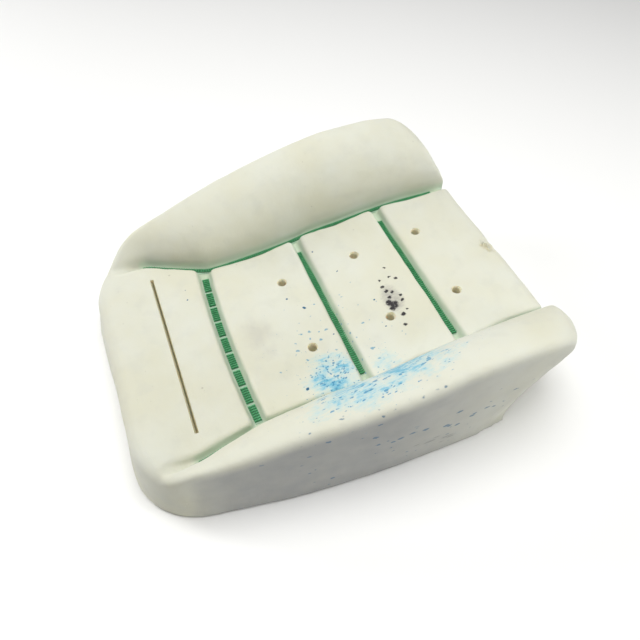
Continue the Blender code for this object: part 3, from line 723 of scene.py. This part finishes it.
def shape_skin(obj, unevenness):
    """Moves the skin's points: broad waves, the hollow foot of the nose, the torn chip and the flash."""
    mesh = obj.data
    count = len(mesh.vertices)
    places = np.empty(count * 3)
    normals = np.empty(count * 3)
    mesh.vertices.foreach_get("co", places)
    mesh.vertices.foreach_get("normal", normals)
    places, normals = places.reshape(-1, 3), normals.reshape(-1, 3)
    waves = np.array([noise.fractal(Vector(p) / 0.055, 0.6, 2.1, 3) for p in places])
    above = ease(places[:, 2] / 0.020)
    places = places + normals * (waves * unevenness * above)[:, None]
    x, y, z = places.T
    hollow = np.exp(-((x - HOLLOW_X) / HOLLOW_RUN) ** 2) * ease(1 - z / 0.060) * ease(1 - (y - NOSE_Y) / 0.05)
    places[:, 1] += HOLLOW_DEPTH * hollow
    chip = np.hypot((x - CHIP_AT[0]) / CHIP_STRETCH, y - CHIP_AT[1]) / CHIP_RADIUS
    ragged = np.array([noise.noise(Vector(p) / 0.0045) for p in places])
    torn = ease(1.15 - chip + 0.45 * ragged) * ease((z - 0.080) / 0.010)
    places[:, 2] -= CHIP_DEPTH * torn * (1 + 0.6 * ragged)
    flash = np.exp(-((y - FLASH_Y) / FLASH_RUN) ** 2) * ease(1 - z / 0.016) * ease((x - 0.185) / 0.020)
    places[:, 1] += FLASH_BACK * flash * (1 + 0.8 * ragged)
    places[:, 0] += FLASH_OUT * flash * (1 + 0.8 * ragged)
    mesh.vertices.foreach_set("co", places.ravel())
    mesh.update()
    return places


def paint_places(obj):
    """Stores how near each point is to a trench floor and to an outer side, as masks of painted shade."""
    mesh = obj.data
    places = np.empty(len(mesh.vertices) * 3)
    mesh.vertices.foreach_get("co", places)
    x, y, z = places.reshape(-1, 3).T
    away = trench_distance(x, y, 0.004)
    sunk = np.clip((insert_height(y) + 0.012 - z) / 0.020, 0, 1) * (z > INSERT - DEPTH - 0.004)
    behind = ease((share(y) - 0.12) / 0.03)
    # how deep in a trench and how near a tape: the mask of green-tinted painted shade
    value = ease(1 - np.clip(away, 0, None) / 0.009) * sunk * behind
    layer = mesh.attributes.new("trench", "FLOAT", "POINT")
    layer.data.foreach_set("value", value)
    # near an outer side wall and below the crest: the mask of grey painted shade
    outer = ease((0.010 - wall_half_width(y, z) + np.abs(x)) / 0.008) * ease((crest_height(y) - z) / 0.020)
    # the painted shade thins out over the nose and towards the rear
    outer *= ease((y - NOSE_Y - 0.01) / 0.12)
    outer *= 1 - 0.85 * ease((y + 0.02) / 0.24)
    layer = mesh.attributes.new("flank_shade", "FLOAT", "POINT")
    layer.data.foreach_set("value", outer)


def vent_cutter(radius, spacing, material):
    """One body of six flared pins, standing in the vent holes."""
    deselect()
    made = []
    for at in VENT_ROWS:
        y = float(y_at(at))
        top = float(insert_height(y_at(at)))
        for side in (-1, 1):
            middle = top + (VENT_PROUD - VENT_DEPTH) / 2
            bpy.ops.mesh.primitive_cylinder_add(vertices=28, radius=radius, depth=VENT_DEPTH + VENT_PROUD,
                                                location=(side * spacing / 2, y, middle))
            pin = bpy.context.active_object
            bpy.ops.object.mode_set(mode="EDIT")
            for depth in (FLARE_DEPTH, FLARE_DEPTH / 2, FLARE_DEPTH / 4, 0.0):
                bpy.ops.mesh.select_all(action="SELECT")
                bpy.ops.mesh.bisect(plane_co=(0, 0, top - depth), plane_no=(0, 0, 1))
            bpy.ops.object.mode_set(mode="OBJECT")
            for v in pin.data.vertices:
                rise = v.co.z + pin.location.z - top + FLARE_DEPTH
                if rise > 0:
                    flare = 1 + FLARE * min(rise / FLARE_DEPTH, 1.3) ** 2.2
                    v.co.x *= flare
                    v.co.y *= flare
            pin.data.materials.append(material)
            made.append(pin)
    deselect()
    for pin in made:
        pin.select_set(True)
    bpy.context.view_layer.objects.active = made[0]
    bpy.ops.object.join()
    return bpy.context.active_object


def slit_cutter(width, material):
    """A thin blade for the slit across the nose, widest at the skin."""
    deselect()
    y = float(y_at(SLIT_AT))
    top = float(insert_height(y_at(SLIT_AT)))
    bpy.ops.mesh.primitive_cube_add(size=1.0, location=(0, y, top + (SLIT_PROUD - SLIT_DEPTH) / 2))
    blade = bpy.context.active_object
    bpy.ops.transform.resize(value=(2 * SLIT_REACH, width, SLIT_DEPTH + SLIT_PROUD))
    bpy.ops.object.transform_apply(location=False, rotation=False, scale=True)
    bpy.ops.object.mode_set(mode="EDIT")
    for depth in (SLIT_TAPER, 0.3 * SLIT_TAPER, 0.0):
        bpy.ops.mesh.select_all(action="SELECT")
        bpy.ops.mesh.bisect(plane_co=(0, 0, top - depth), plane_no=(0, 0, 1))
    bpy.ops.object.mode_set(mode="OBJECT")
    for v in blade.data.vertices:
        depth = top - (v.co.z + blade.location.z)
        v.co.y *= 1.20 - min(max(depth / SLIT_TAPER, 0.0), 1.0)
    blade.data.materials.append(material)
    return blade


class SEATPAD_OT_foam(bpy.types.Operator):
    """Models the moulded foam body with its bolsters, trenches, slit and vents"""
    bl_idname = "seatpad.foam"
    bl_label = "Foam body"

    def execute(self, context):
        look = context.scene.seatpad_foam
        # the cut faces take the open-cell foam, coloured paler as painted light
        foam, cut = foam_finish(look), cut_foam_painted_light_finish()
        body = link_mesh("foam_body", loft_mesh(look.lip, look.corner), foam)
        apply(body, "REMESH", mode="VOXEL", voxel_size=look.cell)
        apply(body, "SMOOTH", factor=0.5, iterations=3)
        shape_skin(body, look.unevenness)
        for cutter in (vent_cutter(look.vent_diameter / 2, look.vent_spacing, cut),
                       slit_cutter(look.slit_width, cut)):
            apply(body, "BOOLEAN", operation="DIFFERENCE", solver="EXACT", object=cutter,
                  material_mode="TRANSFER")
            bpy.data.objects.remove(cutter, do_unlink=True)
        paint_places(body)
        activate(body)
        bpy.ops.object.shade_smooth_by_angle(angle=math.radians(50))
        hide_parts("foam_pad")
        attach(body, "root")
        return {"FINISHED"}


# ---- hook tapes -----------------------------------------------------------------------------------
def hook_row(width, pitch, columns, height, materials):
    """One row of hooks across a band, with its strip of backing painted dark as shade, at the origin and
    pointing up.
    """
    deselect()
    bpy.ops.mesh.primitive_cube_add(size=1.0)
    row = bpy.context.active_object
    bpy.ops.transform.resize(value=(width, pitch, HOOK_BACKING))
    bpy.ops.transform.translate(value=(0, 0, HOOK_BACKING / 2))
    bpy.ops.object.transform_apply(location=True, rotation=False, scale=True)
    row.data.materials.append(materials[0])
    row.data.materials.append(materials[1])
    # the backing strip takes the second material, painted dark as shade
    for polygon in row.data.polygons:
        polygon.material_index = 1
    made = [row]
    spacing = width / columns
    for i in range(columns):
        x = (i + 0.5) * spacing - width / 2
        bpy.ops.mesh.primitive_cylinder_add(vertices=6, radius=0.30 * spacing,
                                            depth=height - 1.6 * HOOK_BACKING,
                                            location=(x, -0.05 * pitch, height / 2))
        hook = bpy.context.active_object
        hook.data.materials.append(materials[0])
        bpy.ops.object.mode_set(mode="EDIT")
        bpy.ops.mesh.select_all(action="DESELECT")
        bm = bmesh.from_edit_mesh(hook.data)
        for face in bm.faces:
            face.select_set(face.normal.z > 0.9)
        bmesh.update_edit_mesh(hook.data)
        bpy.ops.mesh.extrude_region_move(TRANSFORM_OT_translate={"value": (0, 0, 0.1 * pitch)})
        bpy.ops.transform.resize(value=(1.45, 1.8, 1))
        bpy.ops.mesh.extrude_region_move(TRANSFORM_OT_translate={"value": (0, 0.10 * pitch, 0.05 * pitch)})
        bpy.ops.transform.resize(value=(0.8, 0.8, 1))
        bpy.ops.object.mode_set(mode="OBJECT")
        made.append(hook)
    deselect()
    for item in made:
        item.select_set(True)
    bpy.context.view_layer.objects.active = row
    bpy.ops.object.join()
    return row


def lay_rows(name, row, points, materials):
    """Repeats a row of hooks along a line of points, each turned to follow it."""
    source = row.data
    count = len(source.vertices)
    base = np.empty(count * 3)
    source.vertices.foreach_get("co", base)
    base = base.reshape(-1, 3)
    quads = [list(p.vertices) for p in source.polygons]
    slots = [p.material_index for p in source.polygons] * len(points)
    places, faces = [], []
    for i, point in enumerate(points):
        ahead = (points[min(i + 1, len(points) - 1)] - points[max(i - 1, 0)]).normalized()
        side = Vector((ahead.y, -ahead.x, 0)).normalized()
        up = side.cross(ahead)
        turn = np.array([side, ahead, up])
        places.append(base @ turn + np.array(point))
        faces += [[v + i * count for v in quad] for quad in quads]
    mesh = bpy.data.meshes.new(name)
    mesh.from_pydata(np.concatenate(places).tolist(), [], faces)
    piece = link_mesh(name, mesh, materials[0])
    mesh.materials.append(materials[1])
    mesh.polygons.foreach_set("material_index", slots)
    mesh.update()
    return piece


def even_points(start, end, pitch, place):
    """Points on a line between two values, at most a pitch apart; place gives each one's position."""
    count = max(2, int(round(abs(end - start) / pitch)))
    steps = [start + (end - start) * (i + 0.5) / count for i in range(count)]
    return [Vector([float(c) for c in place(step)]) for step in steps]


class SEATPAD_OT_hooks(bpy.types.Operator):
    """Lays the bands of nylon hooks on the carrier tapes"""
    bl_idname = "seatpad.hooks"
    bl_label = "Hook bands"

    def execute(self, context):
        look = context.scene.seatpad_hooks
        # the second material is the backing, painted dark as shade between the rows
        materials = (hook_finish(look), painted_shade_backing_finish())
        for side, name in ((1, "bolster_hook_strip_left"), (-1, "bolster_hook_strip_right")):
            low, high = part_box(name)

            def along(y):
                return side * trench_x(y, side), y, insert_height(y) - DEPTH + BAND_LIFT

            points = even_points(low.y, high.y, look.pitch, along)
            self.band(name, look, points, BAND_WIDTH, materials)
        for name, (at, _, _) in zip(("middle_hook_strip", "rear_hook_strip"), CROSS_TRENCHES[1:]):
            low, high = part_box(name)
            points = even_points(low.x, high.x, look.pitch, lambda x: (x, y_at(at), low.z))
            self.band(name, look, points, high.y - low.y, materials)
        y0 = float(y_at(CROSS_TRENCHES[0][0]))
        for name in BLOCKS:
            low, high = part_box(name)

            def bowed(x):
                return x, y0 - FRONT_BOW * (1 - (x / float(trench_x(y0, x))) ** 2), low.z

            points = even_points(low.x + BLOCK_MARGIN, high.x - BLOCK_MARGIN, look.pitch, bowed)
            self.band(name, look, points, BLOCK_WIDTH, materials)
        return {"FINISHED"}

    def band(self, name, look, points, width, materials):
        pitch = (points[-1] - points[0]).length / (len(points) - 1)
        row = hook_row(width, pitch, look.columns, HOOK_HEIGHT, materials)
        piece = lay_rows(name.replace("strip", "band").replace("block", "patch"), row, points, materials)
        bpy.data.objects.remove(row, do_unlink=True)
        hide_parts(name)
        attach(piece, "root")


class SEATPAD_OT_tapes(bpy.types.Operator):
    """Gives the carrier tapes and their core wires their finishes"""
    bl_idname = "seatpad.tapes"
    bl_label = "Tapes and wires"

    def execute(self, context):
        tape, wire = tape_finish(), wire_finish()
        for names, material in ((TAPES, tape), (WIRES, wire)):
            for name in names:
                for place in frame["nodes"][name].material_slots:
                    place.material = material
        return {"FINISHED"}


# ---- stage ----------------------------------------------------------------------------------------
def area_light(name, place, aim, size, power, colour):
    data = bpy.data.lights.new(name, "AREA")
    data.shape, data.size, data.energy, data.color = "DISK", size, power, colour
    lamp = bpy.data.objects.new(name, data)
    lamp.location = place
    lamp.rotation_euler = (Vector(aim) - Vector(place)).to_track_quat("-Z", "Y").to_euler()
    bpy.context.scene.collection.objects.link(lamp)


class SEATPAD_OT_stage(bpy.types.Operator):
    """Sets up the pale floor, the soft lights and the camera"""
    bl_idname = "seatpad.stage"
    bl_label = "Stage"

    def execute(self, context):
        look = context.scene.seatpad_stage
        deselect()
        bpy.ops.mesh.primitive_plane_add(size=8.0, location=(0, 0, -0.0002))
        floor = context.active_object
        floor.name = "floor"
        material, tree, shader = new_material("pale paper backdrop")
        shader.inputs["Base Color"].default_value = srgb("f6f6f5")
        shader.inputs["Roughness"].default_value = 0.9
        floor.data.materials.append(material)
        world = bpy.data.worlds.new("soft surround")
        world.use_nodes = True
        world.node_tree.nodes["Background"].inputs["Color"].default_value = (1, 1, 1, 1)
        world.node_tree.nodes["Background"].inputs["Strength"].default_value = 0.08
        context.scene.world = world
        for lamp in LAMPS:
            area_light(*lamp)
        target = Vector(look.target)
        back = Vector((math.sin(look.azimuth) * math.cos(look.elevation),
                       -math.cos(look.azimuth) * math.cos(look.elevation), math.sin(look.elevation)))
        data = bpy.data.cameras.new("camera")
        data.sensor_width, data.lens = 36.0, 33.75
        data.clip_start, data.clip_end = 0.01, 50.0
        camera = bpy.data.objects.new("camera", data)
        camera.location = target + back * look.distance
        camera.rotation_euler = (-back).to_track_quat("-Z", "Y").to_euler()
        context.scene.collection.objects.link(camera)
        context.scene.camera = camera
        context.scene.view_settings.view_transform = "Standard"
        return {"FINISHED"}


class SEATPAD_PT_panel(bpy.types.Panel):
    """Lists the pieces of the seat pad"""
    bl_idname = "SEATPAD_PT_panel"
    bl_label = "Seat Pad"
    bl_space_type = "VIEW_3D"
    bl_region_type = "UI"
    bl_category = "Seat Pad"

    def draw(self, context):
        for settings, operators in (("seatpad_foam", ("seatpad.foam",)),
                                    ("seatpad_hooks", ("seatpad.hooks", "seatpad.tapes")),
                                    ("seatpad_stage", ("seatpad.stage",))):
            box = self.layout.box()
            group = getattr(context.scene, settings)
            for name in group.bl_rna.properties.keys():
                if name not in {"rna_type", "name"}:
                    box.prop(group, name)
            for operator in operators:
                box.operator(operator)


CLASSES = (SeatPadFoam, SeatPadHooks, SeatPadStage, SEATPAD_OT_foam, SEATPAD_OT_hooks, SEATPAD_OT_tapes,
           SEATPAD_OT_stage, SEATPAD_PT_panel)


def register():
    for cls in CLASSES:
        bpy.utils.register_class(cls)
    bpy.types.Scene.seatpad_foam = PointerProperty(type=SeatPadFoam)
    bpy.types.Scene.seatpad_hooks = PointerProperty(type=SeatPadHooks)
    bpy.types.Scene.seatpad_stage = PointerProperty(type=SeatPadStage)


def unregister():
    del bpy.types.Scene.seatpad_stage, bpy.types.Scene.seatpad_hooks, bpy.types.Scene.seatpad_foam
    for cls in reversed(CLASSES):
        bpy.utils.unregister_class(cls)


def main():
    register()
    bpy.ops.seatpad.stage()
    bpy.ops.seatpad.tapes()
    bpy.ops.seatpad.hooks()
    bpy.ops.seatpad.foam()


if __name__ == "__main__":
    main()
